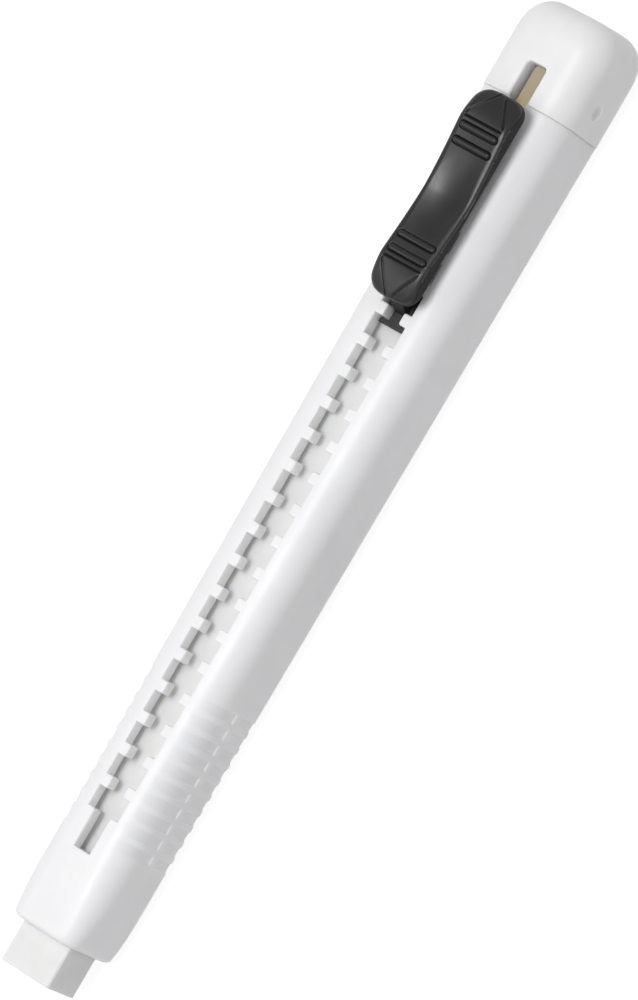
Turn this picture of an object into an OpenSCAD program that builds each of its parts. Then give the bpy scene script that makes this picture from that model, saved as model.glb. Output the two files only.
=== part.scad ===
// Retractable eraser: a rectangular eraser stick in a flat-sided plastic barrel, moved and locked by a
// thumb button whose catch drops into the notches of a slot.
// X runs along the barrel from the eraser's tip to the cap, Z out of the slotted face, and the back face
// lies on Z = 0. The origin is under the middle of the whole length.

/* [Eraser] */
// Width of the eraser stick, across the slot
eraser_w = 7.0; // [5.5:0.1:9]
// Height of the eraser stick, from back to front
eraser_h = 6.2; // [5:0.1:8]
// How far the eraser stands out of the mouth at rest
eraser_out = 5.1; // [4.5:0.1:9]
// Radius of the eraser's long edges
eraser_edge_r = 0.4; // [0.2:0.05:0.8]

/* [Barrel] */
// Length of the barrel, from the mouth to the cap's seam
barrel_l = 105.0; // [80:1:140]
// Thickness of the barrel's side walls at the seam
side_wall = 1.93; // [1.8:0.01:3]
// Thickness of the barrel's back wall
back_wall = 2.0; // [1.9:0.1:3]
// Thickness of the slotted front wall at the seam
front_wall = 2.0; // [1.9:0.1:3]
// How much thinner the slotted wall is at the slot's front end
wall_thinning = 0.4; // [0:0.05:0.6]
// Lean of each side face, in degrees
side_draft = 0.5; // [0:0.05:0.6]
// Radius of the barrel's long corners
corner_r = 3.3; // [2.5:0.1:3.6]
// Radius of the corners inside the barrel
cavity_r = 0.8; // [0.5:0.1:1.2]

/* [Nose] */
// Length over which the barrel narrows to its mouth
nose_l = 11.8; // [9:0.05:16]
// How much each side draws in at the mouth
mouth_narrow = 0.84; // [0.3:0.02:0.9]
// How much the front and the back draw in at the mouth
mouth_low = 0.6; // [0.2:0.05:1]
// Radius of the mouth's rim
rim_r = 0.7; // [0.3:0.05:0.7]
// Gap between the eraser and the mouth, on each side
mouth_clear = 0.15; // [0.1:0.01:0.3]
// Length of the narrow guide inside the mouth
guide_l = 8.6; // [6:0.05:9.5]

/* [Slot] */
// Distance from one notch to the next
notch_pitch = 4.0; // [3.2:0.1:5]
// Length of a notch
notch_l = 2.54; // [2.4:0.02:2.8]
// Depth of a notch, on each side of the slot
notch_d = 1.0; // [0.7:0.05:1.3]
// Width of the slot between the teeth
gap_w = 2.3; // [1.9:0.05:2.8]
// Distance from the seam to the notch that the catch rests in
first_notch = 27.85; // [27:0.05:29]
// Plain slot ahead of the last notch, at least
slot_end_l = 3.5; // [3.5:0.1:8]
// Distance from the slot's front end to the mouth's guide
slot_to_guide = 1.35; // [0:0.05:3]
// Steps that the slider can be drawn back by, from where it rests
back_steps = 2; // [0:1:2]
// Radius of the teeth's corners
tooth_r = 0.2; // [0.1:0.05:0.3]
// Width of the thinner wall beyond the notches, on each side
thin_margin = 0.75; // [0.3:0.05:0.8]

/* [Grip] */
// Grip pockets in each of the four corner rows
pocket_n = 10; // [4:1:12]
// Plain strip between the nose and the first pocket
pocket_start = 0.06; // [0:0.02:3]
// Distance from one pocket to the next
pocket_pitch = 2.0; // [1.7:0.1:2.5]
// Length of a pocket along the barrel
pocket_l = 1.5; // [0.8:0.02:1.5]
// Depth of a pocket
pocket_d = 0.28; // [0.15:0.01:0.4]
// How far a pocket reaches in over the front or back face, from the side face
pocket_reach = 2.4; // [1.5:0.1:3]
// Half of the plain strip between the two rows on a side
strip_half = 0.6; // [0.6:0.1:2]

/* [Cap] */
// Length of the cap outside the barrel
cap_l = 12.2; // [10:0.1:18]
// How far the cap stands proud of the barrel's front and sides
cap_proud = 0.13; // [0.05:0.01:0.3]
// Radius of the cap's end edges
cap_end_r = 3.5; // [2.5:0.1:4.5]
// Thickness of the cap's end wall
cap_end_wall = 2.0; // [1.5:0.1:3]
// How much wider the cap's slot is than the barrel's, on each side
cap_slot_more = 0.2; // [0.1:0.05:0.4]
// Gap that the cap's slot leaves behind the fin of the slider drawn right back
cap_slot_gap = 0.8; // [0.3:0.05:1.5]
// Radius of the corners of the cap's slot
cap_slot_r = 0.5; // [0.2:0.05:0.9]
// Length of the cap's plug inside the barrel
plug_l = 6.0; // [3:0.1:6.4]
// Thickness of the plug's wall
plug_wall = 0.85; // [0.6:0.05:1]
// Gap between the plug and the barrel, on each side
plug_clear = 0.05; // [0.03:0.01:0.1]
// Gap between the plug's end and the bottom of its seat
seat_clear = 0.2; // [0.1:0.05:0.5]
// Radius of the ball that cuts the dimple in each of the cap's sides
dimple_ball_r = 1.2; // [0.5:0.05:1.2]
// Depth of the dimples
dimple_d = 0.3; // [0.1:0.05:0.4]
// Distance from the seam to the dimples
dimple_x = 3.15; // [2:0.05:8]
// Height of the dimples over the cap's middle
dimple_up = 0.5; // [-2:0.1:2]

/* [Slider] */
// Gap between the holder and the barrel, on each side
slide_clear = 0.15; // [0.08:0.01:0.25]
// Gap between the holder and the barrel's back and front walls
floor_clear = 0.1; // [0.05:0.01:0.2]
// How much smaller the radius of the holder's edges is than the barrel's inside
edge_ease = 0.05; // [0:0.05:0.3]
// Gap between the holder and the eraser that it grips, on each side
grip_clear = 0.05; // [0.02:0.01:0.08]
// Thickness of the holder's jaws
jaw_t = 0.5; // [0.4:0.05:0.8]
// Thickness of the holder's floor
holder_floor = 0.9; // [0.7:0.05:1.4]
// Length of eraser that the jaws hold
grip_l = 12.4; // [9:0.1:12.4]
// Thickness of the holder's cross walls
cross_wall = 1.2; // [0.8:0.1:2]
// Free height over the eraser, which the pressed catch drops into
catch_room = 0.65; // [0.6:0.01:1]
// Distance from the resting notch to the holder's front end
jaws_behind = 0.5; // [0:0.1:1]
// Gap between the fin and the teeth, on each side
fin_clear = 0.2; // [0.1:0.05:0.3]
// Distance from the seam to the fin's rear end
fin_ahead = 4.25; // [3.4:0.05:4.5]
// How far the holder's tail reaches past the fin
tail_past = 0.5; // [0:0.1:2]
// Length of the fin along the slot
fin_l = 8.3; // [6:0.1:9]
// How far the fin stands over the barrel's front face
fin_over = 0.6; // [0.3:0.05:0.8]

/* [Button] */
// Length of the thumb button
pad_l = 25.6; // [24:0.1:26]
// Width of the thumb button
pad_w = 6.4; // [5:0.1:8]
// Gap between the thumb button and the barrel's front face
pad_gap = 1.8; // [1.6:0.05:2.5]
// Distance from the front of the rear catch block to the button's front end
pad_back = 0.3; // [0.2:0.01:0.8]
// Thickness of the button in its hollow
pad_valley_t = 1.15; // [0.8:0.05:2]
// How much higher the button's two humps are
pad_rise = 1.1; // [0.3:0.05:1.5]
// Distance from the button's middle to each hump
pad_hump_x = 9.1; // [7:0.1:9.5]
// Thickness of the button at its ends
pad_end_t = 1.1; // [0.6:0.05:1.6]
// Length of the four cross ribs
rib_l = 5.3; // [3:0.1:5.6]
// Radius of the cross ribs
rib_r = 0.45; // [0.3:0.05:0.6]
// How far a cross rib stands up
rib_up = 0.25; // [0.1:0.05:0.3]
// Distance from the button's middle to the inner rib of each end
inner_rib_x = 5.92; // [4:0.02:6.4]
// Distance from the button's middle to the outer rib of each end
outer_rib_x = 7.76; // [7.4:0.02:8.6]

/* [Tongue] */
// Thickness of the spring tongue's beam
beam_t = 0.8; // [0.6:0.05:1]
// Width of the beam
beam_w = 2.2; // [1.8:0.1:3]
// Thickness of the thin strip that bends
strip_t = 0.6; // [0.4:0.05:0.8]
// Distance from the fin's rear end to the strip
strip_in = 0.6; // [0.3:0.05:2]
// How far the beam reaches past the fin
beam_past = 0.3; // [0:0.05:0.6]
// Gap between the neck and the teeth that it passes, on each side
neck_clear = 0.25; // [0.15:0.05:0.4]
// How far the neck's foot stands ahead of the rear catch block
neck_ahead = 0.5; // [0.2:0.05:0.6]
// How far the beam stands back from the button's front end, and the neck from the rear block's end
beam_back = 0.3; // [0.1:0.05:1]
// Thickness of the catch
catch_t = 0.44; // [0.35:0.01:0.5]
// Height of the catch's top over the inner face of the slotted wall
catch_bite = 0.5; // [0.3:0.01:0.52]
// Length of the catch's cross bar along the slot
bar_l = 0.6; // [0.4:0.05:0.8]
// Gap between the catch and the notches
catch_clear = 0.12; // [0.1:0.01:0.2]

/* [Hidden] */
$fn = 48;
over = 1;
curve_steps = 12;
// How square the button's outline is at its ends, and how its hollow rises to the humps
outline_power = 7;
outline_root = 4.5;
saddle_power = 1.8;
// Inside of the barrel, worked out from the eraser and what lies round it
holder_w = eraser_w + 2 * (grip_clear + jaw_t);
cavity_w = holder_w + 2 * slide_clear;
cavity_h = floor_clear + holder_floor + grip_clear + eraser_h + catch_room + floor_clear;
barrel_w = cavity_w + 2 * side_wall;
barrel_h = back_wall + cavity_h + front_wall;
cavity_top = back_wall + cavity_h;
eraser_z = back_wall + floor_clear + holder_floor + grip_clear;
axis_z = barrel_h / 2;
// Places along the barrel
total_l = cap_l + barrel_l + eraser_out;
cap_end_x = total_l / 2;
seam_x = cap_end_x - cap_l;
mouth_x = seam_x - barrel_l;
tip_x = mouth_x - eraser_out;
nose_x = mouth_x + nose_l;
guide_x = mouth_x + guide_l;
notch_x = seam_x - first_notch;
// As many notches as the barrel's length has room for
notch_n = floor((notch_x - guide_x - notch_l - slot_end_l) / notch_pitch);
slot_end_x = guide_x + slot_to_guide;
// The catch stands in the resting notch and, behind one tooth, in the notch before it
bar_x = notch_x - catch_clear - bar_l;
block_front_x = notch_x + notch_pitch - notch_l + catch_clear;
block_rear_x = notch_x + notch_pitch - catch_clear;
catch_top = cavity_top + wall_at(bar_x) + catch_bite;
catch_w = gap_w + 2 * (notch_d - catch_clear);
// The button, the beam under it and the fin that carries them
pad_z = barrel_h + pad_gap;
pad_front_x = block_front_x + pad_back;
pad_x = pad_front_x + pad_l / 2;
beam_z = pad_z - beam_t;
fin_rear_x = seam_x - fin_ahead;
fin_front_x = fin_rear_x - fin_l;
fin_w = gap_w - 2 * fin_clear;
fin_top = barrel_h + fin_over;
strip_x = fin_rear_x - strip_in - strip_t;
beam_rear_x = fin_rear_x + beam_past;
neck_w = gap_w - 2 * neck_clear;
// The holder
holder_front_x = notch_x + jaws_behind;
eraser_rear_x = holder_front_x + grip_l;
holder_rear_x = fin_rear_x + tail_past;
holder_z = back_wall + floor_clear;
holder_h = cavity_h - 2 * floor_clear;
eraser_l = eraser_rear_x - tip_x;

// How far the slotted wall's inner face has moved outwards at x
function wall_at(x) = wall_thinning * (seam_x - x) / (seam_x - slot_end_x);
// Inset of a rounded edge of radius r, at the distance d from its end
function edge_in(r, d) = d >= r ? 0 : r - sqrt(r * r - (r - d) * (r - d));
// 0 where the nose begins and 1 at the mouth
function nose_at(x) = max(0, (nose_x - x) / nose_l);
// Half of the barrel's width, and how far its front and back are drawn in, at x
function half_w(x) = barrel_w / 2 - (seam_x - x) * tan(side_draft)
    - mouth_narrow * pow(nose_at(x), 2) - edge_in(rim_r, x - mouth_x);
function face_in(x) = mouth_low * pow(nose_at(x), 2) + edge_in(rim_r, x - mouth_x);
// Stations along the nose, closer together over the rounded rim
nose_xs = concat([for (i = [0:5]) mouth_x + rim_r * (1 - cos(90 * i / 5))],
    [for (i = [1:curve_steps]) mouth_x + rim_r + (nose_l - rim_r) * i / curve_steps]);
// Half of the button's width at u from its middle, an outline with full corners
function pad_half(u) = pad_w / 2
    * pow(1 - pow(min(1, abs(u) / (pad_l / 2)), outline_power), 1 / outline_root);
// Thickness of the button at u from its middle
function pad_t(u) = abs(u) < pad_hump_x
    ? pad_valley_t + pad_rise * pow(abs(u) / pad_hump_x, saddle_power)
    : pad_valley_t + pad_rise - (pad_valley_t + pad_rise - pad_end_t)
        * (abs(u) - pad_hump_x) / (pad_l / 2 - pad_hump_x);
// Unit vector from a to b
function way(a, b) = (b - a) / norm(b - a);
// A square corner at b, between a and c, as an arc of radius r
function corner(a, b, c, r) = [for (i = [0:3])
    b + r * (way(b, a) * (1 - sin(30 * i)) + way(b, c) * (1 - cos(30 * i)))];

// Outline with round corners, centred across and standing on z = 0
module rounded(w, h, r) {
    translate([r - w / 2, 0]) square([w - 2 * r, h]);
    translate([-w / 2, r]) square([w, h - 2 * r]);
    for (y = [r - w / 2, w / 2 - r], z = [r, h - r]) translate([y, z]) circle(r);
}

// Bar along X between two places, with a YZ outline
module bar(x0, x1) {
    translate([x0, 0, 0]) rotate([90, 0, 90]) linear_extrude(x1 - x0) children();
}

// Plate across Y, as wide as w, with an XZ outline
module plate(w) {
    translate([0, w / 2, 0]) rotate([90, 0, 0]) linear_extrude(w) children();
}

// One leaning side face with its two long corners, and solid far past the middle
module flank(side, inset) {
    r = corner_r - inset;
    h = barrel_h - 2 * inset;
    translate([seam_x, side * (barrel_w / 2 - inset), inset]) rotate([0, 0, side * side_draft])
        bar(-barrel_l - over, over) mirror([side > 0 ? 1 : 0, 0]) {
            translate([r, 0]) square([barrel_w, h]);
            translate([0, r]) square([2 * r, h - 2 * r]);
            for (z = [r, h - r]) translate([r, z]) circle(r);
        }
}

// The barrel's rounded and leaning body without its nose, drawn in by inset
module blank(inset) {
    intersection() {
        flank(-1, inset);
        flank(1, inset);
    }
}

// Seen from the front: the nose's narrowing, and wide of the body behind it
module plan_outline() {
    wide = barrel_w;
    ys = [for (x = nose_xs) [x, half_w(x)]];
    far = [[nose_x, wide], [seam_x, wide], [seam_x, -wide], [nose_x, -wide]];
    polygon(concat(ys, far, [for (i = [len(ys) - 1:-1:0]) [ys[i][0], -ys[i][1]]]));
}

// Seen from the side: the nose's lowering at front and back
module side_outline() {
    low = -over;
    high = barrel_h + over;
    zs = [for (x = nose_xs) [x, face_in(x)]];
    far = [[nose_x, low], [seam_x, low], [seam_x, high], [nose_x, high]];
    polygon(concat(zs, far, [for (i = [len(zs) - 1:-1:0]) [zs[i][0], barrel_h - zs[i][1]]]));
}

// The slot, toothed on both edges and open at the seam
module slot_outline() {
    g = gap_w / 2;
    edge = [for (k = [-1 - back_steps:notch_n]) let (a = notch_x - k * notch_pitch, b = a - notch_l)
        each concat(corner([a + over, g], [a, g], [a, g + over], tooth_r),
            [[a, g + notch_d], [b, g + notch_d]],
            corner([b, g + over], [b, g], [b - over, g], tooth_r))];
    front = [[slot_end_x, g], [slot_end_x, -g]];
    back = [for (i = [len(edge) - 1:-1:0]) [edge[i][0], -edge[i][1]]];
    polygon(concat([[seam_x + over, g]], edge, front, back, [[seam_x + over, -g]]));
}

// Grip pockets: rows of blocks over the four corners, cut off by a body that is drawn in
module grip_pockets() {
    difference() {
        for (k = [0:pocket_n - 1], side = [-1, 1], up = [0, 1]) {
            x = nose_x + pocket_start + pocket_pitch * k;
            y = half_w(x) - pocket_reach;
            z = up * axis_z + (up ? strip_half : -over);
            translate([x, side > 0 ? y : -y - pocket_reach - over, z])
                cube([pocket_l, pocket_reach + over, axis_z - strip_half + over]);
        }
        blank(pocket_d);
    }
}

module barrel() {
    plug_w = cavity_w + 2 * plug_wall + 2 * plug_clear;
    plug_h = cavity_h + 2 * plug_wall + 2 * plug_clear;
    guide_w = eraser_w + 2 * mouth_clear;
    guide_h = eraser_h + 2 * mouth_clear;
    thin_w = gap_w + 2 * (notch_d + thin_margin);
    color([0.94, 0.94, 0.95]) difference() {
        intersection() {
            blank(0);
            linear_extrude(barrel_h + over) plan_outline();
            plate(2 * barrel_w) side_outline();
        }
        // the channel that the holder runs in, and the thinner wall along the slot
        translate([0, 0, back_wall]) bar(guide_x, seam_x + over) rounded(cavity_w, cavity_h, cavity_r);
        plate(thin_w) polygon([[seam_x, cavity_top - over], [seam_x, cavity_top],
            [slot_end_x, cavity_top + wall_thinning], [slot_end_x, cavity_top - over]]);
        // the seat of the cap's plug
        translate([0, 0, back_wall - plug_wall - plug_clear]) bar(seam_x - plug_l - seat_clear, seam_x + over)
            rounded(plug_w, plug_h, cavity_r + plug_wall + plug_clear);
        // the guide round the eraser
        translate([0, 0, eraser_z - mouth_clear]) bar(mouth_x - over, guide_x + over)
            rounded(guide_w, guide_h, eraser_edge_r + mouth_clear);
        translate([0, 0, cavity_top - over]) linear_extrude(front_wall + 2 * over) slot_outline();
        grip_pockets();
    }
}

module end_cap() {
    w = barrel_w + 2 * cap_proud;
    h = barrel_h + cap_proud;
    plug_x = seam_x - plug_l;
    slot_w = gap_w + 2 * cap_slot_more;
    slot_x = fin_rear_x + back_steps * notch_pitch + cap_slot_gap;
    ends = [for (i = [0:curve_steps]) cap_end_r * [sin(90 * i / curve_steps) - 1,
        cos(90 * i / curve_steps) - 1]];
    color([0.93, 0.93, 0.94]) difference() {
        union() {
            // the outside, rounded at its end as seen from the front and from the side
            intersection() {
                bar(seam_x, cap_end_x) rounded(w, h, corner_r + cap_proud);
                linear_extrude(h) polygon(concat([[seam_x - over, w], [cap_end_x - cap_end_r, w]],
                    [for (e = ends) [cap_end_x + e[0], w / 2 + e[1]]],
                    [for (i = [curve_steps:-1:0]) [cap_end_x + ends[i][0], -w / 2 - ends[i][1]]],
                    [[cap_end_x - cap_end_r, -w], [seam_x - over, -w]]));
                plate(w) polygon(concat([[seam_x - over, h + over], [cap_end_x - cap_end_r, h + over]],
                    [for (e = ends) [cap_end_x + e[0], h + e[1]]],
                    [for (i = [curve_steps:-1:0]) [cap_end_x + ends[i][0], -ends[i][1]]],
                    [[cap_end_x - cap_end_r, -over], [seam_x - over, -over]]));
            }
            translate([0, 0, back_wall - plug_wall]) bar(plug_x, seam_x)
                rounded(cavity_w + 2 * plug_wall, cavity_h + 2 * plug_wall, cavity_r + plug_wall);
        }
        translate([0, 0, back_wall]) bar(plug_x - over, cap_end_x - cap_end_wall)
            rounded(cavity_w, cavity_h, cavity_r);
        // the slot, round in its end's corners, goes on along the plug
        translate([0, 0, axis_z]) linear_extrude(barrel_h) {
            translate([plug_x - over, -slot_w / 2])
                square([slot_x - cap_slot_r - plug_x + over, slot_w]);
            translate([plug_x, cap_slot_r - slot_w / 2])
                square([slot_x - plug_x, slot_w - 2 * cap_slot_r]);
            for (side = [-1, 1]) translate([slot_x - cap_slot_r, side * (slot_w / 2 - cap_slot_r)])
                circle(cap_slot_r);
        }
        for (side = [-1, 1]) translate([seam_x + dimple_x, side * (w / 2 + dimple_ball_r - dimple_d),
            axis_z + dimple_up]) sphere(dimple_ball_r);
    }
}

// The slider's inner part: jaws for the eraser, a tail that guides it, and the fin through the slot
module eraser_holder() {
    pocket_w = eraser_w + 2 * grip_clear;
    tail_x = eraser_rear_x + cross_wall;
    side_gap = (pocket_w - fin_w) / 2;
    color([0.09, 0.09, 0.09]) {
        difference() {
            translate([0, 0, holder_z]) bar(holder_front_x, holder_rear_x)
                rounded(holder_w, holder_h, cavity_r - edge_ease);
            translate([holder_front_x - over, -pocket_w / 2, eraser_z - grip_clear])
                cube([grip_l + over, pocket_w, cavity_h]);
            for (y = [-pocket_w / 2, fin_w / 2]) translate([tail_x, y, eraser_z - grip_clear])
                cube([holder_rear_x - cross_wall - tail_x, side_gap, cavity_h]);
        }
        translate([fin_front_x, -fin_w / 2, axis_z]) cube([fin_l, fin_w, fin_top - axis_z]);
    }
}

// The slider's springy part: a thin strip on the fin, the beam, the neck between the teeth and the catch
module spring_tongue() {
    catch_z = catch_top - catch_t;
    beam_x = pad_front_x + beam_back;
    neck_rear_x = block_rear_x - beam_back;
    color([0.1, 0.1, 0.1]) union() {
        translate([strip_x, -fin_w / 2, fin_top]) cube([strip_t, fin_w, beam_z - fin_top]);
        translate([beam_x, -beam_w / 2, beam_z]) cube([beam_rear_x - beam_x, beam_w, beam_t]);
        plate(neck_w) polygon([[block_front_x - neck_ahead, catch_z], [block_front_x - neck_ahead, catch_top],
            [beam_x, pad_z], [neck_rear_x, pad_z], [neck_rear_x, catch_z]]);
        translate([bar_x, -catch_w / 2, catch_z]) cube([bar_l, catch_w, catch_t]);
        translate([bar_x, -neck_w / 2, catch_z]) cube([block_rear_x - bar_x, neck_w, catch_t]);
        translate([block_front_x, -catch_w / 2, catch_z])
            cube([block_rear_x - block_front_x, catch_w, catch_t]);
    }
}

// The thumb button: a saddle with two humps, sloping ends and four cross ribs
module thumb_button() {
    n = 4 * curve_steps;
    us = [for (i = [0:n]) pad_l / 2 * (2 * i / n - 1)];
    rows = [for (i = [0:n]) pad_l / 2 * sin(90 * (2 * i / n - 1))];
    color([0.12, 0.12, 0.12]) translate([pad_x, 0, pad_z]) {
        intersection() {
            linear_extrude(barrel_h) polygon(concat([for (u = rows) [u, pad_half(u)]],
                [for (i = [n - 1:-1:1]) [rows[i], -pad_half(rows[i])]]));
            plate(2 * pad_w) polygon(concat([for (u = us) [u, pad_t(u)]],
                [[pad_l / 2, 0], [-pad_l / 2, 0]]));
        }
        for (side = [-1, 1], at = [inner_rib_x, outer_rib_x])
            translate([side * at, 0, pad_t(at) + rib_up - rib_r]) {
                rotate([90, 0, 0]) cylinder(h = rib_l - 2 * rib_r, r = rib_r, center = true);
                for (y = [-1, 1]) translate([0, y * (rib_l / 2 - rib_r), 0]) sphere(rib_r);
            }
    }
}

module eraser_stick() {
    color([0.92, 0.92, 0.92]) translate([0, 0, eraser_z]) bar(tip_x, eraser_rear_x)
        rounded(eraser_w, eraser_h, eraser_edge_r);
}

barrel();
end_cap();
eraser_holder();
spring_tongue();
thumb_button();
eraser_stick();
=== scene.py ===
import math
import bpy
import bmesh
from mathutils import Matrix, Vector


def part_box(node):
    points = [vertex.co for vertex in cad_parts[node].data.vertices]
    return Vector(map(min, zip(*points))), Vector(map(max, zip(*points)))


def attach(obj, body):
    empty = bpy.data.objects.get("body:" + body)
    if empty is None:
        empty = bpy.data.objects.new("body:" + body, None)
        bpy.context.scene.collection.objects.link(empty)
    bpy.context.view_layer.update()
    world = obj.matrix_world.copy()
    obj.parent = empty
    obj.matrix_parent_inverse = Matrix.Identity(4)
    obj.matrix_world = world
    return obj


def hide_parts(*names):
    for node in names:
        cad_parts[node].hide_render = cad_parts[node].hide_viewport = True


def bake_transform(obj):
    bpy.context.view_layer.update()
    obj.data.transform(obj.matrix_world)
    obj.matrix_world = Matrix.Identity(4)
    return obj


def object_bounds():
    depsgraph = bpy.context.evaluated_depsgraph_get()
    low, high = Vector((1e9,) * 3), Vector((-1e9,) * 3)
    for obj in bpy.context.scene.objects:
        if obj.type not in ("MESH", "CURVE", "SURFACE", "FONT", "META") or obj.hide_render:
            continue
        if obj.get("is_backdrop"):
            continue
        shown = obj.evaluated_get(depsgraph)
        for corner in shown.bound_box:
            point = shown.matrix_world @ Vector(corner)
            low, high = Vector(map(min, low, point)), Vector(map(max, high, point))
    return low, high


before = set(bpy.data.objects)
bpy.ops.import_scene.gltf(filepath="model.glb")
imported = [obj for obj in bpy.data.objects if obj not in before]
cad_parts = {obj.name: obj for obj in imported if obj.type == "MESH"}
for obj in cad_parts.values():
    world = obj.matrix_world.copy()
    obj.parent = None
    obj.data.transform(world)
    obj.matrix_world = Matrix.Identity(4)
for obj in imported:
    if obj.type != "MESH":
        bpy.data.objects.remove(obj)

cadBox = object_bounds()
milli = 0.001   # lengths below are in millimetres, and the scene is in metres
joinGap = 0.0001   # points closer than this become one, in millimetres
cutPast = 1.0   # how far a cutter reaches beyond what it cuts, in millimetres
noiseSpan = (0.3, 0.7)   # nearly all values of a noise texture lie between these


# small tools for points, rings and solids
def newPiece(name, points, faces):
    mesh = bpy.data.meshes.new(name)
    mesh.from_pydata([tuple(p) for p in points], [], faces)
    mesh.update()
    piece = bpy.data.objects.new(name, mesh)
    bpy.context.scene.collection.objects.link(piece)
    tidyMesh(piece)
    return piece


def tidyMesh(piece):
    # one skin, with its normals pointing out
    work = bmesh.new()
    work.from_mesh(piece.data)
    bmesh.ops.remove_doubles(work, verts=work.verts, dist=joinGap)
    bmesh.ops.dissolve_degenerate(work, edges=work.edges, dist=joinGap)
    bmesh.ops.recalc_face_normals(work, faces=work.faces)
    work.to_mesh(piece.data)
    work.free()
    piece.data.update()


def loft(name, rings):
    # a closed solid through rings that all have as many points
    count = len(rings[0])
    points = [p for ring in rings for p in ring]
    faces = []
    for r in range(len(rings) - 1):
        for i in range(count):
            j = (i + 1) % count
            a, b = r * count, (r + 1) * count
            faces.append((a + i, a + j, b + j, b + i))
    faces.append(tuple(range(count - 1, -1, -1)))
    faces.append(tuple(range((len(rings) - 1) * count, len(rings) * count)))
    return newPiece(name, points, faces)


def spread(start, end, steps):
    return [start + (end - start) * i / steps for i in range(steps + 1)]


def smooth(t):
    t = min(1.0, max(0.0, t))
    return t * t * (3 - 2 * t)


def softMin(a, b, blur):
    # the smaller of two numbers, rounded over where they cross
    return (a + b - math.sqrt((a - b) ** 2 + blur ** 2)) / 2


def softMax(a, b, blur):
    return -softMin(-a, -b, blur)


def edgeIn(radius, distance):
    # inset of a rounded edge at a distance from its end
    if distance >= radius:
        return 0.0
    return radius - math.sqrt(max(0.0, radius * radius - (radius - distance) ** 2))


def roundStart(start, length, inset, steps):
    # (x, inset) pairs along a rounded end, from its tip inwards
    pairs = []
    for a in spread(0, 90, steps):
        turn = math.radians(a)
        pairs.append((start + length * (1 - math.cos(turn)), inset * (1 - math.sin(turn))))
    return pairs


def roundEnd(end, length, inset, steps):
    # the same towards a far end: the pair where the rounding begins is left out
    pairs = []
    for a in spread(0, 90, steps)[1:]:
        turn = math.radians(a)
        pairs.append((end - length * (1 - math.sin(turn)), inset * (1 - math.cos(turn))))
    return pairs


def roundOutline(halfWidth, low, high, radius, angles, sideLevels=(), faceSteps=6):
    # (y, z, normal y, normal z) clockwise round an upright rectangle with round corners
    flat = halfWidth - radius
    points = []

    def addCorner(sideY, sideZ, turns):
        base = high - radius if sideZ > 0 else low + radius
        for a in turns:
            s, c = math.sin(math.radians(a)), math.cos(math.radians(a))
            points.append((sideY * (flat + radius * s), base + sideZ * radius * c, sideY * s, sideZ * c))

    for y in spread(-flat, flat, faceSteps)[1:-1]:
        points.append((y, high, 0.0, 1.0))
    addCorner(1, 1, angles)
    for z in sorted(sideLevels, reverse=True):
        points.append((halfWidth, z, 1.0, 0.0))
    addCorner(1, -1, angles[::-1])
    for y in spread(flat, -flat, faceSteps)[1:-1]:
        points.append((y, low, 0.0, -1.0))
    addCorner(-1, -1, angles)
    for z in sorted(sideLevels):
        points.append((-halfWidth, z, -1.0, 0.0))
    addCorner(-1, 1, angles[::-1])
    return points


def channel(name, sections, cornerSteps=6):
    # a solid along X through rounded rectangles: (x, half width, low, high, radius)
    angles = spread(0, 90, cornerSteps)
    rings = []
    for x, halfWidth, low, high, radius in sections:
        outline = roundOutline(halfWidth, low, high, radius, angles)
        rings.append([(x, y, z) for y, z, ny, nz in outline])
    return loft(name, rings)


def prism(name, outline, levels):
    # a solid up Z from an XY outline: levels are (z, how far the outline has grown)
    rings = []
    for z, grown in levels:
        rings.append([(x, y, z) for x, y in growOutline(outline, grown)])
    return loft(name, rings)


def growOutline(outline, grown, sharpest=0.3):
    # moves each side of an anticlockwise outline outwards: sharpest keeps a thin corner from running far out
    if grown == 0:
        return list(outline)
    result = []
    count = len(outline)
    for i in range(count):
        before, here, after = (Vector(outline[(i + k) % count]) for k in (-1, 0, 1))
        first = (here - before).normalized()
        second = (after - here).normalized()
        normalA = Vector((first.y, -first.x))
        normalB = Vector((second.y, -second.x))
        middle = (normalA + normalB).normalized()
        result.append(tuple(here + middle * grown / max(sharpest, middle.dot(normalA))))
    return result


def flare(top, radius, steps=4, lastTurn=80, clear=0.5):
    # levels for a cut whose upper edge is rounded: the cut opens out as it leaves the surface
    levels = []
    for a in spread(0, lastTurn, steps):
        turn = math.radians(a)
        levels.append((top - radius + radius * math.sin(turn), radius * (1 - math.cos(turn))))
    z, grown = levels[-1]
    grown += 2 * (top - z) / math.tan(math.radians(90 - lastTurn))
    levels.append((2 * top - z, grown))
    levels.append((top + clear, grown))
    return levels


def carve(piece, cutters, operation="DIFFERENCE"):
    # cuts each of the cutters out of the piece, or joins them to it
    for cutter in cutters:
        step = piece.modifiers.new("cut", "BOOLEAN")
        step.operation = operation
        step.solver = "EXACT"
        step.object = cutter
        bpy.context.view_layer.update()
        graph = bpy.context.evaluated_depsgraph_get()
        made = bpy.data.meshes.new_from_object(piece.evaluated_get(graph))
        piece.modifiers.remove(step)
        old = piece.data
        piece.data = made
        bpy.data.meshes.remove(old)
        old = cutter.data
        bpy.data.objects.remove(cutter)
        bpy.data.meshes.remove(old)
    tidyMesh(piece)


def finishPiece(piece, material, sharpAngle):
    # to metres, then smooth shading that keeps the crisp edges
    piece.data.transform(Matrix.Scale(milli, 4))
    piece.data.materials.clear()
    piece.data.materials.append(material)
    piece.data.shade_smooth()
    piece.data.set_sharp_from_angle(angle=math.radians(sharpAngle))
    weighted = piece.modifiers.new("faceNormals", "WEIGHTED_NORMAL")
    weighted.keep_sharp = True
    weighted.weight = 60


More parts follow.
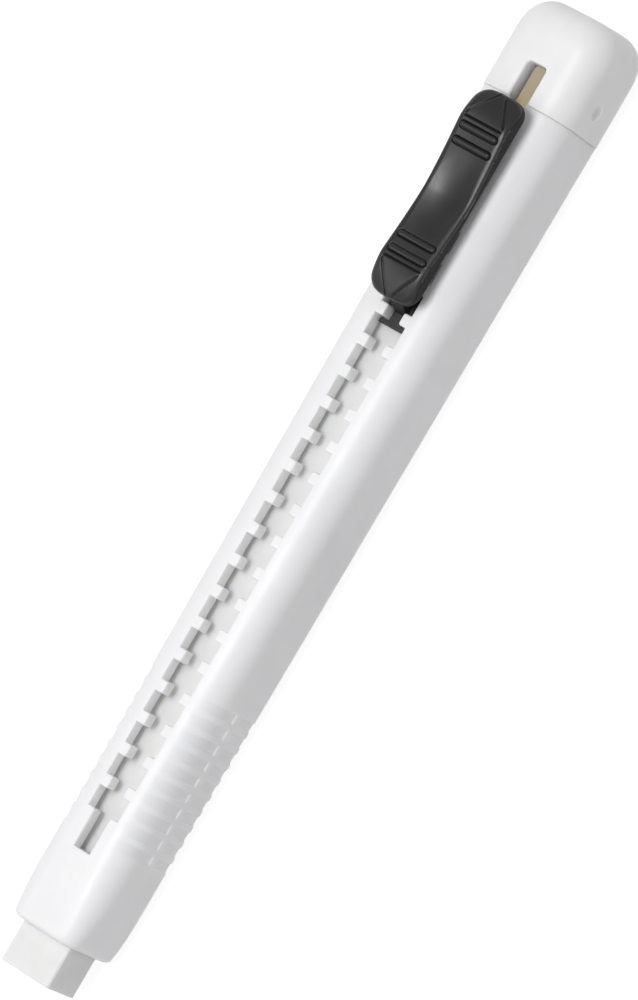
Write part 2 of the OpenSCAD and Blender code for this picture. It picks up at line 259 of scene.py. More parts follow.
def depthIn(y, z, halfWidth, low, high, radius):
    # how deep a point lies inside an upright rectangle with round corners
    overY = abs(y) - halfWidth + radius
    overZ = abs(z - (low + high) / 2) - (high - low) / 2 + radius
    return radius - math.hypot(max(0.0, overY), max(0.0, overZ)) - min(0.0, max(overY, overZ))


def finishPart(piece, material, isPart):
    # a second finish for some of the faces, picked by where their middles are
    piece.data.materials.append(material)
    index = len(piece.data.materials) - 1
    for face in piece.data.polygons:
        if isPart(face.center / milli):
            face.material_index = index


def boxMm(node):
    low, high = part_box(node)
    return low / milli, high / milli


# materials
def startMaterial(name):
    material = bpy.data.materials.new(name)
    material.use_nodes = True
    nodes = material.node_tree.nodes
    shader = nodes["Principled BSDF"]
    place = nodes.new("ShaderNodeTexCoord")
    return material, nodes, material.node_tree.links, shader, place


def addNoise(nodes, links, place, size, detail, rough=0.5, distortion=0.0):
    # size is the width of one blotch, in millimetres
    noise = nodes.new("ShaderNodeTexNoise")
    noise.inputs["Scale"].default_value = 1 / (size * milli)
    noise.inputs["Detail"].default_value = detail
    noise.inputs["Roughness"].default_value = rough
    noise.inputs["Distortion"].default_value = distortion
    links.new(place.outputs["Object"], noise.inputs["Vector"])
    return noise


def addRamp(nodes, links, source, colours):
    # a blend of two colours by a noise texture
    ramp = nodes.new("ShaderNodeValToRGB")
    first, second = ramp.color_ramp.elements
    first.position, second.position = noiseSpan
    first.color, second.color = (*colours[0], 1), (*colours[1], 1)
    links.new(source.outputs["Fac"], ramp.inputs["Fac"])
    return ramp


def addRange(nodes, links, source, low, high):
    # a number between low and high by a noise texture
    change = nodes.new("ShaderNodeMapRange")
    change.inputs["From Min"].default_value, change.inputs["From Max"].default_value = noiseSpan
    change.inputs["To Min"].default_value = low
    change.inputs["To Max"].default_value = high
    links.new(source.outputs["Fac"], change.inputs["Value"])
    return change


def addBump(nodes, links, source, shader, height, strength, below=None):
    # the shader takes the bump that was added last, which stands on the one below
    bump = nodes.new("ShaderNodeBump")
    bump.inputs["Distance"].default_value = height * milli
    bump.inputs["Strength"].default_value = strength
    links.new(source.outputs["Fac"], bump.inputs["Height"])
    if below:
        links.new(below.outputs["Normal"], bump.inputs["Normal"])
    links.new(bump.outputs["Normal"], shader.inputs["Normal"])
    return bump


def srgb(red, green, blue):
    # a colour as a photograph's 0 to 255 values, made linear
    result = []
    for value in (red, green, blue):
        v = value / 255
        result.append(v / 12.92 if v <= 0.04045 else ((v + 0.055) / 1.055) ** 2.4)
    return tuple(result)


def mouldedPlastic(name, look):
    # injection-moulded plastic: faint flow clouds, a fine spark-eroded grain and uneven gloss
    material, nodes, links, shader, place = startMaterial(name)
    clouds = addNoise(nodes, links, place, look["cloudSize"], detail=3, rough=0.55, distortion=0.4)
    ramp = addRamp(nodes, links, clouds, look["colours"])
    links.new(ramp.outputs["Color"], shader.inputs["Base Color"])
    gloss = addNoise(nodes, links, place, look["glossSize"], detail=4, rough=0.6)
    rough = addRange(nodes, links, gloss, *look["roughness"])
    links.new(rough.outputs["Result"], shader.inputs["Roughness"])
    waves = addNoise(nodes, links, place, look["waveSize"], detail=1)
    waveBump = addBump(nodes, links, waves, shader, look["waveHeight"], strength=1.0)
    grain = addNoise(nodes, links, place, look["grainSize"], detail=2)
    addBump(nodes, links, grain, shader, look["grainHeight"], look["grainStrength"], waveBump)
    shader.inputs["IOR"].default_value = look["ior"]
    shader.inputs["Subsurface Weight"].default_value = look["glow"]
    shader.inputs["Subsurface Radius"].default_value = look["glowTint"]
    shader.inputs["Subsurface Scale"].default_value = look["glowDepth"] * milli
    return material


# sizes in millimetres, and glowTint is how far red, green and blue travel in parts of glowDepth
whiteFinish = {
    "colours": (srgb(239, 239, 241), srgb(243, 243, 245)), "cloudSize": 9.0, "glossSize": 3.0,
    "roughness": (0.36, 0.46), "waveSize": 6.0, "waveHeight": 0.01, "grainSize": 0.16,
    "grainHeight": 0.004, "grainStrength": 0.5, "ior": 1.49, "glow": 1.0, "glowDepth": 0.5,
    "glowTint": (1.0, 0.96, 0.92),
}
# inside a shell the colour is painted paler than outside: painted light that stands in for light coming
# through the walls
paintedBrightInsideFinish = {
    **whiteFinish, "colours": (srgb(252, 252, 252), srgb(254, 254, 254)), "glowDepth": 0.8,
}
capFinish = {
    **whiteFinish, "colours": (srgb(240, 239, 240), srgb(244, 243, 244)), "cloudSize": 6.0,
    "glowDepth": 0.35,
}
# seen through its slot, the cap's hollow is painted tan: painted warm light standing in for light that
# reaches it from deep inside the walls
capInsidePaintedTanFinish = {
    **capFinish, "colours": (srgb(255, 240, 205), srgb(255, 242, 210)), "glowDepth": 40.0,
    "glowTint": (1.0, 0.62, 0.34),
}
# the walls of the cap's slot are painted paler than the cap: painted light for light coming through the
# walls
capSlotPaintedLightFinish = {**capFinish, "colours": (srgb(252, 251, 250), srgb(254, 253, 252)), "glowDepth": 2.5}
blackFinish = {
    "colours": (srgb(15, 15, 15), srgb(20, 20, 20)), "cloudSize": 5.0, "glossSize": 1.5,
    "roughness": (0.38, 0.44), "waveSize": 2.5, "waveHeight": 0.006, "grainSize": 0.12,
    "grainHeight": 0.003, "grainStrength": 0.5, "ior": 1.66, "glow": 0.0, "glowDepth": 1.0,
    "glowTint": (1.0, 1.0, 1.0),
}
# the pad's sides are rougher and reflect less than its top: the weaker reflection is painted shade for the
# shadow under the pad
blackSidePaintedShadeFinish = {**blackFinish, "roughness": (0.5, 0.56), "ior": 1.24}
innerBlackFinish = {**blackFinish, "roughness": (0.34, 0.46), "grainHeight": 0.006}
vinylFinish = {
    "colours": (srgb(231, 231, 231), srgb(236, 236, 236)), "cloudSize": 3.0, "glossSize": 0.8,
    "roughness": (0.62, 0.80), "waveSize": 2.2, "waveHeight": 0.03, "grainSize": 0.25,
    "grainHeight": 0.02, "grainStrength": 0.6, "ior": 1.5, "glow": 1.0, "glowDepth": 0.8,
    "glowTint": (1.0, 0.9, 0.8),
}

whitePlastic = mouldedPlastic("whitePlastic", whiteFinish)
paintedBrightInside = mouldedPlastic("paintedBrightInside", paintedBrightInsideFinish)
capPlastic = mouldedPlastic("capPlastic", capFinish)
capInside = mouldedPlastic("capInside", capInsidePaintedTanFinish)
capSlot = mouldedPlastic("capSlot", capSlotPaintedLightFinish)
blackPlastic = mouldedPlastic("blackPlastic", blackFinish)
blackSidePaintedShade = mouldedPlastic("blackSide", blackSidePaintedShadeFinish)
innerBlack = mouldedPlastic("innerBlack", innerBlackFinish)
vinyl = mouldedPlastic("eraserVinyl", vinylFinish)
print("materials made")


# the toothed slot
slotLook = {
    "halfGap": 1.15, "notchDepth": 1.0, "notchLength": 2.54, "pitch": 4.0, "firstNotch": 27.85,
    "frontNotches": 15, "backNotches": 3, "frontEnd": 9.95, "toothRadius": 0.26, "edgeRadius": 0.2,
    "below": 1.5,   # how far the cut goes under the front wall
}


def toothCorner(before, here, after, radius):
    # a square corner turned into an arc
    a, b, c = Vector(before), Vector(here), Vector(after)
    toA, toC = (a - b).normalized(), (c - b).normalized()
    points = []
    for turn in spread(0, 90, steps=4):
        s, k = math.sin(math.radians(turn)), math.cos(math.radians(turn))
        points.append(tuple(b + radius * (toA * (1 - s) + toC * (1 - k))))
    return points


def slotOutline(seam, mouth, look):
    # runs forward along one toothed edge and back along the other, anticlockwise
    g, deep, far = look["halfGap"], look["halfGap"] + look["notchDepth"], cutPast
    edge = []
    for k in range(-look["backNotches"], look["frontNotches"] + 1):
        rear = seam - look["firstNotch"] - k * look["pitch"]
        front = rear - look["notchLength"]
        edge += toothCorner((rear + far, g), (rear, g), (rear, g + far), look["toothRadius"])
        edge += [(rear, deep), (front, deep)]
        edge += toothCorner((front, g + far), (front, g), (front - far, g), look["toothRadius"])
    edge.append((mouth + look["frontEnd"], g))
    mirrored = [(x, -y) for x, y in reversed(edge)]
    return [(seam + far, g)] + edge + mirrored + [(seam + far, -g)]


# barrel
barrelLook = {
    "cornerRadius": 3.3, "lean": 0.5, "noseLength": 11.8, "mouthNarrow": 0.76, "mouthLow": 0.6,
    "mouthCorner": 1.5, "rimRadius": 0.7, "seamRadius": 0.02, "wall": 2.0,
    "thinning": 0.4, "thinHalf": 2.9,   # a wedge out of the front wall's inner face, along the slot
    "cavityHalf": 4.2, "cavityRadius": 0.8, "seatHalf": 5.1, "seatLow": 1.1, "seatHigh": 10.9,
    "seatRadius": 1.7, "seatDepth": 6.2, "guideHalf": 3.65, "guideLow": 2.9, "guideHigh": 9.4,
    "guideRadius": 0.55, "guideLength": 8.6, "mouthEdge": 0.18,
    "lead": 0.25,   # a bevel where the cap's plug enters
    "skin": 0.4,   # faces deeper than this get the paler inside colour, which is painted light
    "noseSteps": 14, "bodySteps": 20, "cornerSteps": 20, "faceSteps": 8,
}
gripLook = {
    "rows": 10, "start": 0.06, "pitch": 2.0, "length": 1.5, "depth": 0.2, "stripHalf": 0.6,
    "wall": 0.3, "wallSteps": 6, "ledge": 0.16, "ledgeSteps": 4,
    "turnStart": 12, "turnFull": 82,   # degrees round the corner between which the pockets deepen
}


def noseAt(x, mouth, look):
    # 0 where the nose begins and 1 at the mouth
    return max(0.0, (mouth + look["noseLength"] - x) / look["noseLength"])


def barrelHalf(x, seam, mouth, halfWidth, look):
    # half of the barrel's width at x
    lean = (seam - x) * math.tan(math.radians(look["lean"]))
    return (halfWidth - lean - look["mouthNarrow"] * noseAt(x, mouth, look) ** 4
        - edgeIn(look["rimRadius"], x - mouth) - edgeIn(look["seamRadius"], seam - x))


def barrelFace(x, seam, mouth, look):
    # how far the front and the back lie inside the box at x
    return (look["mouthLow"] * noseAt(x, mouth, look) ** 2
        + edgeIn(look["rimRadius"], x - mouth) + edgeIn(look["seamRadius"], seam - x))


def gripDepth(x, mouth, look, barrel):
    # depth of the pockets' floor at x: the ribs between them are rounded
    first = mouth + barrel["noseLength"] + look["start"]
    k = round((x - first - look["length"] / 2) / look["pitch"])
    if k < 0 or k >= look["rows"]:
        return 0.0
    inside = look["length"] / 2 - abs(x - first - look["length"] / 2 - k * look["pitch"])
    return look["depth"] * smooth(inside / look["wall"])


def gripStations(mouth, look, barrel):
    # places along the grip, closer together on the walls of its pockets
    first = mouth + barrel["noseLength"] + look["start"]
    stations = []
    for k in range(look["rows"]):
        start = first + k * look["pitch"]
        end = start + look["length"]
        stations += spread(start, start + look["wall"], look["wallSteps"])
        stations += [(start + end) / 2]
        stations += spread(end - look["wall"], end, look["wallSteps"])
        stations += [end + (look["pitch"] - look["length"]) / 2]
    return stations


def barrelStations(seam, mouth, look, grip):
    noseEnd = mouth + look["noseLength"]
    gripEnd = noseEnd + grip["start"] + grip["rows"] * grip["pitch"]
    rim, seamEdge = look["rimRadius"], look["seamRadius"]
    stations = [x for x, inset in roundStart(mouth, rim, rim, steps=9)]
    stations += spread(mouth + rim, noseEnd, look["noseSteps"])[1:]
    stations += gripStations(mouth, grip, look)
    stations += spread(gripEnd, seam - seamEdge, look["bodySteps"])
    stations += [x for x, inset in roundEnd(seam, seamEdge, seamEdge, steps=4)]
    return sorted(set(round(x, 5) for x in stations))


def barrelSkin(seam, mouth, halfWidth, height, look, grip):
    # the outside, with the grip pockets sunk into its corners
    middle = height / 2
    angles = spread(0, 90, look["cornerSteps"])
    strip, ledge, steps = grip["stripHalf"], grip["ledge"], grip["ledgeSteps"]
    levels = spread(middle - strip - ledge, middle - strip, steps) + [middle]
    levels += spread(middle + strip, middle + strip + ledge, steps)
    turnRange = grip["turnFull"] - grip["turnStart"]
    rings = []
    for x in barrelStations(seam, mouth, look, grip):
        half = barrelHalf(x, seam, mouth, halfWidth, look)
        faceIn = barrelFace(x, seam, mouth, look)
        corner = look["cornerRadius"] - look["mouthCorner"] * noseAt(x, mouth, look) ** 2
        deep = gripDepth(x, mouth, grip, look)
        outline = roundOutline(half, faceIn, height - faceIn, corner, angles, levels, look["faceSteps"])
        ring = []
        for y, z, ny, nz in outline:
            # the pockets start at nothing on the front and the back and deepen round the corner
            turn = math.degrees(math.atan2(abs(ny), abs(nz)))
            across = smooth((turn - grip["turnStart"]) / turnRange)
            # a plain strip runs along the middle of each side
            along = smooth((abs(z - middle) - strip) / ledge)
            sunk = deep * across * along
            ring.append((x, y - ny * sunk, z - nz * sunk))
        rings.append(ring)
    return loft("barrelShell", rings)


def barrelInside(seam, mouth, height, look):
    # from the mouth back: a guide round the eraser, a wide cavity and a seat for the cap's plug
    guide = (look["guideHalf"], look["guideLow"], look["guideHigh"], look["guideRadius"])
    cavity = (look["cavityHalf"], look["wall"], height - look["wall"], look["cavityRadius"])
    seat = (look["seatHalf"], look["seatLow"], look["seatHigh"], look["seatRadius"])
    edge, lead = look["mouthEdge"], look["lead"]
    sections = []
    for depth, grown in reversed(flare(edge, edge)):
        half, low, high, radius = guide
        sections.append((mouth - depth + edge, half + grown, low - grown, high + grown, radius + grown))
    guideEnd, seatEnd = mouth + look["guideLength"], seam - look["seatDepth"]
    sections += [(guideEnd, *guide), (guideEnd, *cavity), (seatEnd, *cavity), (seatEnd, *seat)]
    half, low, high, radius = seat
    sections += [
        (seam - lead, *seat),
        (seam + cutPast, half + lead + cutPast, low - lead - cutPast, high + lead + cutPast, radius + lead),
    ]
    return channel("barrelInside", sections)


def slotThinning(seam, mouth, top, look):
    # the front wall gets thinner along the slot, towards the tip
    slotFront, under = mouth + slotLook["frontEnd"], top - cutPast
    sides = []
    for y in (-look["thinHalf"], look["thinHalf"]):
        sides.append([
            (seam, y, under), (seam, y, top), (slotFront, y, top + look["thinning"]), (slotFront, y, under),
        ])
    return loft("slotThinning", sides)


def makeBarrel():
    look = barrelLook
    low, high = boxMm("barrel")
    mouth, seam, halfWidth, height = low.x, high.x, high.y, high.z
    barrel = barrelSkin(seam, mouth, halfWidth, height, look, gripLook)
    inner = barrelInside(seam, mouth, height, look)
    top = height - look["wall"]
    wedge = slotThinning(seam, mouth, top, look)
    levels = [(top - slotLook["below"], 0.0)] + flare(height, slotLook["edgeRadius"])
    slot = prism("slotCut", slotOutline(seam, mouth, slotLook), levels)
    carve(barrel, [inner, wedge, slot])
    finishPiece(barrel, whitePlastic, sharpAngle=46)

    def isInside(p):
        half, faceIn = barrelHalf(p.x, seam, mouth, halfWidth, look), barrelFace(p.x, seam, mouth, look)
        deep = depthIn(p.y, p.z, half, faceIn, height - faceIn, look["cornerRadius"])
        return deep > look["skin"] and p.x > mouth + look["skin"]

    # the inside faces get the paler colour: painted light for light coming through the walls
    finishPart(barrel, paintedBrightInside, isInside)
    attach(barrel, "body")
    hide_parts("barrel")


makeBarrel()
print("barrel made")


# end cap
capLook = {
    "cornerRadius": 3.43, "endLength": 4.2, "endInset": 3.0, "endLean": 0.5, "seamRadius": 0.03,
    "cornerShrink": 0.6, "dome": 0.1, "domeRings": (0.8, 0.6, 0.4, 0.2, 0.06), "seamGap": 0.01,
    "skin": 0.2,   # faces nearer than this to the cavity get its painted tan
    "plugHalf": 5.05, "plugLow": 1.15, "plugHigh": 10.85, "plugRadius": 1.65, "plugLength": 6.0,
    "plugLead": 0.3,
    "cavityHalf": 4.2, "cavityLow": 2.0, "cavityHigh": 10.0, "cavityRadius": 0.8, "endWall": 2.0,
    "slotHalf": 1.3, "slotEnd": 4.5, "slotRadius": 0.5, "slotEdge": 0.3,
    "dimpleX": 3.15, "dimpleZ": 6.3, "dimpleRadius": 0.95, "dimpleDepth": 0.5, "dimplePower": 2.4,
    "dimpleSides": 32, "dimpleFlat": 0.02,
    "dimpleRim": ((1.12, 0.02), (1.3, 0.2)),   # past its edge: parts of its radius, and how far out
}


def dimpleCutter(x, y, z, side, look):
    # a shallow round bowl with a soft edge, turned about Y
    radius, depth, count = look["dimpleRadius"], look["dimpleDepth"], look["dimpleSides"]
    profile = [(look["dimpleFlat"], -depth)]
    for t in spread(0.15, 1, steps=7):
        profile.append((radius * t, -depth * (1 - t ** look["dimplePower"])))
    profile += [(radius * part, out) for part, out in look["dimpleRim"]]
    rings = []
    for r, out in profile:
        ring = []
        for i in range(count):
            turn = 2 * math.pi * i / count
            ring.append((x + r * math.cos(turn), y + side * out, z + r * math.sin(turn)))
        rings.append(ring)
    return loft("capDimple", rings)


def capSkin(seam, end, halfWidth, height, look):
    # straight from the seam, then rounded over to a leaning, slightly domed end
    edge, endLength = look["seamRadius"], look["endLength"]
    start, last = seam + look["seamGap"], end - look["dome"]
    shape = roundStart(start, edge, edge, steps=4)   # (x, inset) from the seam to the end
    shape += [(x, 0.0) for x in spread(start + edge, last - endLength, steps=6)[1:]]
    shape += roundEnd(last, endLength, look["endInset"], steps=18)
    angles = spread(0, 90, steps=14)
    rings = []
    for x, inset in shape:
        corner = look["cornerRadius"] - look["cornerShrink"] * inset
        outline = roundOutline(halfWidth - inset, inset, height - inset, corner, angles)
        # the end leans: its back edge stands further out than its front edge
        lean = look["endLean"] * smooth((x - start - edge) / (last - start - edge))
        rings.append([(x + lean * (0.5 - z / height), y, z) for y, z, ny, nz in outline])
    rim, centre = rings[-1], height / 2
    for t in look["domeRings"]:
        bulge = look["dome"] * (1 - t * t)
        rings.append([(last + (x - last) * t + bulge, y * t, centre + (z - centre) * t) for x, y, z in rim])
    return loft("capShell", rings)


def capPlug(seam, plugStart, look):
    plug = (look["plugHalf"], look["plugLow"], look["plugHigh"], look["plugRadius"])
    lead = look["plugLead"]
    half, low, high, radius = plug
    tip = (half - lead, low + lead, high - lead, radius - lead)
    return channel("capPlug", [(plugStart, *tip), (plugStart + lead, *plug), (seam + cutPast, *plug)])


def capSlotCut(plugStart, slotEnd, height, look):
    # a plain slot with two round corners
    g, r, start = look["slotHalf"], look["slotRadius"], plugStart - cutPast
    outline = [(start, -g)]
    for side, first in ((-1, -90), (1, 0)):
        for a in spread(first, first + 90, steps=6):
            turn = math.radians(a)
            outline.append((slotEnd - r + r * math.cos(turn), side * (g - r) + r * math.sin(turn)))
    outline.append((start, g))
    return prism("capSlot", outline, [(height / 2, 0.0)] + flare(height, look["slotEdge"]))


def makeCap():
    look = capLook
    seam, high = boxMm("barrel")[1].x, boxMm("end_cap")[1]
    end, halfWidth, height = high.x, high.y, high.z
    cap = capSkin(seam, end, halfWidth, height, look)
    plugStart, slotEnd = seam - look["plugLength"], seam + look["slotEnd"]
    carve(cap, [capPlug(seam, plugStart, look)], "UNION")
    cavity = (look["cavityHalf"], look["cavityLow"], look["cavityHigh"], look["cavityRadius"])
    inner = channel("capInside", [(plugStart - cutPast, *cavity), (end - look["endWall"], *cavity)])
    cutters = [inner, capSlotCut(plugStart, slotEnd, height, look)]
    for side in (-1, 1):
        cutters.append(dimpleCutter(seam + look["dimpleX"], side * halfWidth, look["dimpleZ"], side, look))
    carve(cap, cutters)
    finishPiece(cap, capPlastic, sharpAngle=40)
    skin, edge = look["skin"], look["slotEdge"]

    def isHollow(p):
        inHeight = look["cavityLow"] - skin < p.z < look["cavityHigh"] + skin
        return inHeight and abs(p.y) < look["cavityHalf"] + skin and p.x < end - look["endWall"] + skin

    def isSlotWall(p):
        inHeight = look["cavityHigh"] + skin < p.z < height - edge
        return inHeight and abs(p.y) < look["slotHalf"] + edge / 2 and p.x < slotEnd + edge

    # the hollow's faces are painted tan: painted warm light, not the plastic's own colour
    finishPart(cap, capInside, isHollow)
    # the slot's walls get the paler colour, which is painted light
    finishPart(cap, capSlot, isSlotWall)
    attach(cap, "cap")
    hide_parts("end_cap")


makeCap()
print("cap made")


# eraser
eraserLook = {"edge": 0.32, "tipEdge": 0.14, "rearEdge": 0.1}


def makeEraser():
    look = eraserLook
    low, high = boxMm("eraser_stick")
    tipEdge, rearEdge = look["tipEdge"], look["rearEdge"]
    shape = roundStart(low.x, tipEdge, tipEdge, steps=5)
    shape += [(x, 0.0) for x in spread(low.x + tipEdge, high.x - rearEdge, steps=40)[1:]]
    shape += roundEnd(high.x, rearEdge, rearEdge, steps=3)
    angles = spread(0, 90, steps=6)
    rings = []
    for x, inset in shape:
        outline = roundOutline(high.y - inset, low.z + inset, high.z - inset, look["edge"], angles)
        rings.append([(x, y, z) for y, z, ny, nz in outline])
    stick = loft("eraserStick", rings)
    finishPiece(stick, vinyl, sharpAngle=40)
    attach(stick, "eraser")
    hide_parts("eraser_stick")


makeEraser()
print("eraser made")


# thumb button
buttonLook = {
    # the outline, and heights over the underside along the middle
    "halfWidth": 3.24, "endHalf": 1.3, "cornerStart": 11.0, "endRadius": 0.28,
    "valley": 1.2, "rise": 1.08, "saddlePower": 1.5, "hump": 9.0, "humpReach": 1.0, "humpBlur": 0.1,
    "endDrop": 1.0, "endPower": 1.75, "trough": 0.11, "troughHalf": 2.55,
    # the triangle at each end
    "triangleStart": 9.0, "triangleHalf": 2.5, "facetFall": 0.2, "facetBlur": 0.1,
    "cutDepth": 0.24, "cutWidth": 0.4, "cutFade": 0.2,
    # the ribs and the thumb dish
    "ribs": (5.92, 7.76), "ribHalf": 2.6, "ribRadius": 0.36, "ribUp": 0.2,
    "moat": 0.18, "moatFloor": 0.04, "moatWall": 0.14,
    "dishLength": 5.1, "dishWidth": 2.85, "dishDepth": 0.46, "dishBlur": 0.25,
    # the edge and the sides
    "edgeWidth": 0.75, "edgeHeight": 0.34, "footRadius": 0.12, "undercut": 0.08,
    "sidePart": 0.5,   # the side's finish, with its painted shade, begins this far across the edge
    # how close the points lie
    "fineFrom": 5.2, "fineTo": 9.5, "fineStep": 0.05, "coarseStep": 0.12, "widthSteps": 96, "wallSteps": 4,
}


def buttonHalf(u, look, halfLength):
    # half of the button's width: straight sides, and round corners that leave a short straight end
    t = max(0.0, (abs(u) - look["cornerStart"]) / (halfLength - look["cornerStart"]))
    return look["endHalf"] + (look["halfWidth"] - look["endHalf"]) * math.sqrt(max(0.0, 1 - t * t))


def buttonTop(u, y, look, halfLength):
    # height of the button's upper face over its underside
    a, across, top = abs(u), abs(y), look["valley"] + look["rise"]
    saddle = look["valley"] + look["rise"] * (a / look["hump"]) ** look["saddlePower"]
    # beyond the hump the face curves down to the end, and its corners fall away beside a triangle
    length = halfLength - look["triangleStart"]
    beyond = max(0.0, a - look["hump"]) / (halfLength - look["hump"])
    leaning = math.cos(math.atan2(look["triangleHalf"], length))
    outside = (across - look["triangleHalf"] * (halfLength - a) / length) * leaning
    fall = look["facetFall"] * softMax(outside, 0, look["facetBlur"])
    end = top - look["endDrop"] * beyond ** look["endPower"] - fall
    z = softMin(saddle, end, look["humpBlur"]) if a > look["hump"] - look["humpReach"] else saddle
    # a shallow trough runs along the middle
    t = across / look["troughHalf"]
    z -= look["trough"] * (1 - t * t) if t < 1 else 0
    # the thumb dish
    inside = 1 - (u / look["dishLength"]) ** 2 - (y / look["dishWidth"]) ** 2
    z -= look["dishDepth"] * softMax(inside, 0, look["dishBlur"])
    # the ribs stand in narrow moats
    radius = look["ribRadius"]
    for at in look["ribs"]:
        gap = math.hypot(a - at, max(0.0, across - look["ribHalf"] + radius))
        z -= look["moat"] * (1 - smooth((gap - radius - look["moatFloor"]) / look["moatWall"]))
        z += (look["ribUp"] + look["moat"]) * math.sqrt(max(0.0, 1 - (gap / radius) ** 2))
    # a narrow cut runs round the triangle
    away = max(look["triangleStart"] - a, outside)
    half = look["cutWidth"] / 2
    if a > look["triangleStart"] - look["cutWidth"]:
        reach = 1 - smooth((across - look["triangleHalf"]) / look["cutFade"])
        z -= reach * look["cutDepth"] * (1 - smooth(abs(away - half) / half))
    return z


def buttonStations(look, halfLength):
    # places along half of the button, closer together over its ribs and grooves
    fineFrom, fineTo, start = look["fineFrom"], look["fineTo"], look["cornerStart"]
    stations = spread(0, fineFrom, round(fineFrom / look["coarseStep"]))
    stations += spread(fineFrom, fineTo, round((fineTo - fineFrom) / look["fineStep"]))[1:]
    stations += spread(fineTo, start, round((start - fineTo) / look["coarseStep"]))[1:]
    length = halfLength - start
    last = math.degrees(math.asin((length - look["endRadius"]) / length))
    stations += [start + length * math.sin(math.radians(a)) for a in spread(0, last, steps=24)[1:]]
    return stations


def buttonRing(u, inset, look, halfLength):
    # (y, z) round the button at u: the upper face, the right side and the left side
    edge, foot, undercut = look["edgeWidth"], look["footRadius"], look["undercut"]
    half = buttonHalf(u, look, halfLength) - inset
    flat = half - edge
    face = [(y, buttonTop(u, y, look, halfLength) - inset) for y in spread(-flat, flat, look["widthSteps"])]
    right = []
    for a in spread(0, 90, steps=20)[1:]:
        turn = math.radians(a)
        y, fall = flat + edge * math.sin(turn), look["edgeHeight"] * (1 - math.cos(turn))
        right.append((y, buttonTop(u, y, look, halfLength) - inset - fall))
    # the sides draw in a little towards the underside
    wallTop, wallFoot = right[-1][1], inset + foot
    for z in spread(wallTop, wallFoot, look["wallSteps"])[1:]:
        right.append((half - undercut * (wallTop - z) / (wallTop - wallFoot), z))
    for a in spread(0, 90, steps=3)[1:]:
        turn = math.radians(a)
        right.append((half - undercut - foot * (1 - math.cos(turn)), inset + foot * (1 - math.sin(turn))))
    left = [(-y, z) for y, z in reversed(right)]
    return face + right + left


def makeButton():
    look = buttonLook
    low, high = boxMm("thumb_button")
    middle, halfLength = (low.x + high.x) / 2, (high.x - low.x) / 2
    endRadius, edge = look["endRadius"], look["edgeWidth"]
    shape = [(u, 0.0) for u in buttonStations(look, halfLength)]
    shape += reversed(roundStart(halfLength, -endRadius, endRadius, steps=6)[:-1])
    shape = [(-u, inset) for u, inset in reversed(shape[1:])] + shape
    rings = []
    for u, inset in shape:
        ring = buttonRing(u, inset, look, halfLength)
        rings.append([(middle + u, y, low.z + z) for y, z in ring])
    button = loft("thumbPad", rings)
    finishPiece(button, blackPlastic, sharpAngle=60)

    def isSide(at):
        half = buttonHalf(at.x - middle, look, halfLength)
        crest = buttonTop(at.x - middle, half - edge, look, halfLength)
        return abs(at.y) > half - look["sidePart"] * edge and at.z - low.z < crest - look["edgeHeight"]

    # the sides reflect less: painted shade for the shadow under the pad
    finishPart(button, blackSidePaintedShade, isSide)
    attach(button, "button")
    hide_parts("thumb_button")


makeButton()
print("button made")


# spring tongue
tongueLook = {
    "stripX": (43.5, 44.1), "stripZ": (12.6, 13.0), "beamX": (23.28, 45.0), "beamHalf": 1.1,
    "beamZ": (13.0, 13.8), "finHalf": 0.95, "neckHalf": 0.9, "neckFront": 22.18, "neckRear": 24.68,
    "barX": (20.38, 20.98), "blockX": (22.68, 24.98), "catchHalf": 2.03, "catchZ": (10.18, 10.62),
    "bevel": 0.07, "stripBevel": 0.02,
    # how far the joined blocks run into each other
    "stripInto": 0.2, "neckInto": 0.3, "neckBack": 0.15, "linkInto": 0.1,
    "bendSlope": 0.375,   # the button's share falls this much for each millimetre towards the rear
}


def block(name, x, half, z, bevel):
    # a bar between two x and two z, with its upper and lower edges bevelled
    outline = [(x[0], -half), (x[1], -half), (x[1], half), (x[0], half)]
    return prism(name, outline, [(z[0], -bevel), (z[0] + bevel, 0.0), (z[1] - bevel, 0.0), (z[1], -bevel)])


def makeTongue():
    look = tongueLook
    b, neckHalf, catchHalf, catchZ = look["bevel"], look["neckHalf"], look["catchHalf"], look["catchZ"]
    beamFront, beamLow = look["beamX"][0], look["beamZ"][0]
    beam = block("springTongue", look["beamX"], look["beamHalf"], look["beamZ"], b)
    stripZ = (look["stripZ"][0], beamLow + look["stripInto"])
    strip = block("tongueStrip", look["stripX"], look["finHalf"], stripZ, look["stripBevel"])
    # the neck, seen from the side: it leans back from the catch up to the beam
    neckTop = beamLow + look["neckInto"]
    side = [(look["neckFront"], catchZ[0]), (look["neckRear"], catchZ[0]), (look["neckRear"], neckTop),
        (beamFront + look["neckBack"], neckTop), (beamFront, beamLow), (look["neckFront"], catchZ[1])]
    rings = []
    for y, grown in ((-neckHalf, -b), (b - neckHalf, 0), (neckHalf - b, 0), (neckHalf, -b)):
        rings.append([(x, y, z) for x, z in growOutline(side, grown)])
    neck = loft("tongueNeck", rings)
    bar = block("tongueBar", look["barX"], catchHalf, catchZ, b)
    linkX = (look["barX"][0] + look["linkInto"], look["blockX"][1] - look["linkInto"])
    link = block("tongueLink", linkX, neckHalf, catchZ, b)
    catch = block("tongueCatch", look["blockX"], catchHalf, catchZ, b)
    carve(beam, [strip, neck, link, bar, catch], "UNION")
    finishPiece(beam, innerBlack, sharpAngle=50)
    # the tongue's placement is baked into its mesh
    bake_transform(beam)
    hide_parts("spring_tongue")


makeTongue()
print("tongue made")

# the holder keeps its CAD shape
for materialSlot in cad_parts["eraser_holder"].material_slots:
    materialSlot.material = innerBlack
print("holder finished")


